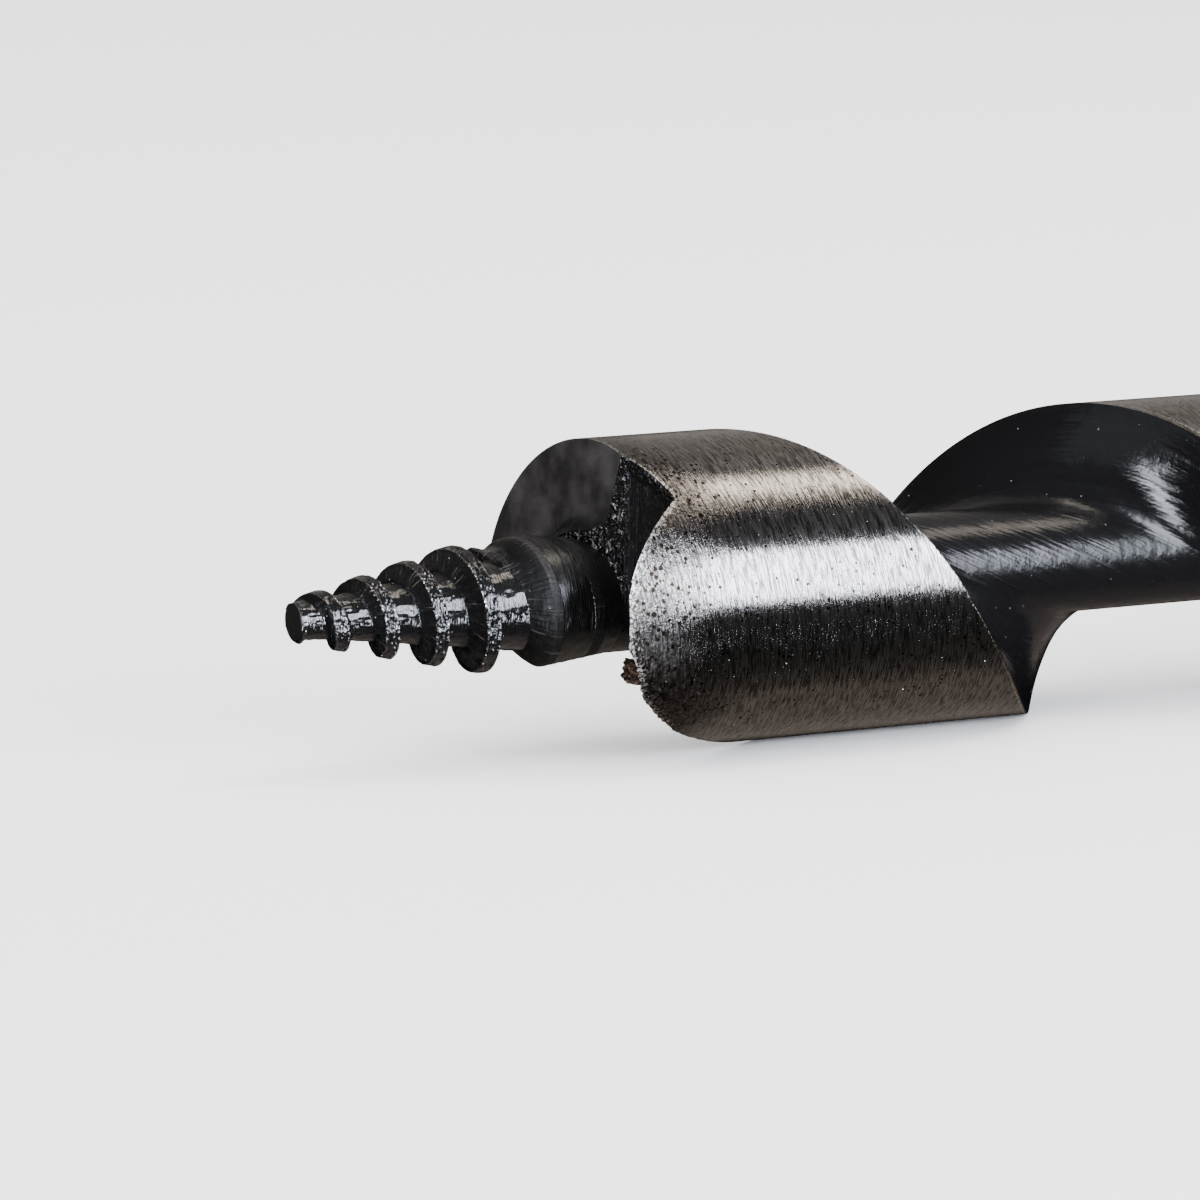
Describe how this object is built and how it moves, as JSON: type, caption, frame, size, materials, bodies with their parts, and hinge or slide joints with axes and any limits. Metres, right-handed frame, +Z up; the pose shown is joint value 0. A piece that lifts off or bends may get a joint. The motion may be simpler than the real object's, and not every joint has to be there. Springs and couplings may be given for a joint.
{
  "type": "auger drill bit",
  "caption": "Single-twist auger drill bit with a conical feed screw, a rim spur and cutting lip, a solid-centre spiral, a round neck and a hexagonal shank.",
  "frame": {"origin": "centre of the shank's end face", "axes": "+X along the bit's axis from the point to the shank; +Z up as it lies; the spur is on the -Y side"},
  "size_m": [0.235, 0.016, 0.016],
  "materials": {
    "ground_steel": "bright ground rim with fine scratches across the bit and dark specks",
    "black_lacquer": "glossy black lacquer on the flute, core, screw, neck and shank"
  },
  "bodies": {
    "root": {"auger_bit": "ground_steel"}
  },
  "joints": []
}
